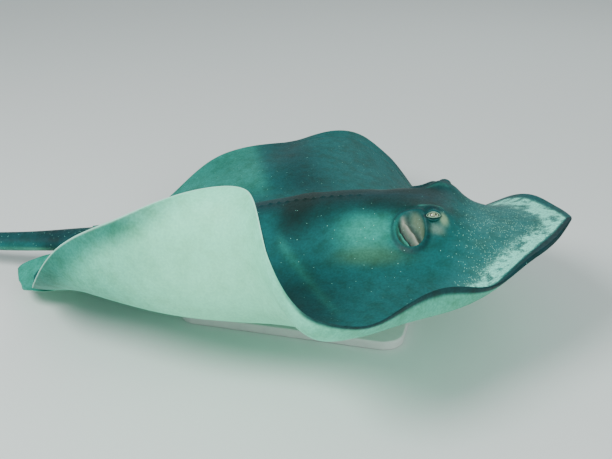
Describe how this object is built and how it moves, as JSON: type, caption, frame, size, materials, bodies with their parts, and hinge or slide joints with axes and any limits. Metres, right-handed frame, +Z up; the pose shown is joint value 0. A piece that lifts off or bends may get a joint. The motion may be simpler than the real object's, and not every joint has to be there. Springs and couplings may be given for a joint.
{
  "type": "stingray",
  "caption": "Life-size southern stingray gliding low with one fin curled up and the other lifted, held on a plain display stand.",
  "frame": {"origin": "centre of the underside of the stand's flat base", "axes": "+Z up, +X toward the ray's snout, +Y toward its left side"},
  "size_m": [2.2425, 1.0456, 0.3678],
  "materials": {
    "skin": "satin",
    "sting": "satin",
    "eye": "gloss",
    "stand_board": "satin",
    "stand_rod": "satin"
  },
  "bodies": {
    "root": {"head": "skin", "trunk": "skin", "pectoral_fin_right": "skin", "pectoral_tip_right": "skin", "pectoral_fin_left": "skin", "pectoral_tip_left": "skin", "pelvic_fin_right": "skin", "pelvic_fin_left": "skin", "tail_base": "skin", "tail_middle": "skin", "tail_whip": "skin", "tail_sting": "sting", "eye_right": "eye", "eye_left": "eye", "stand_base": "stand_board", "stand_rod_front": "stand_rod", "stand_rod_rear": "stand_rod"}
  },
  "joints": []
}
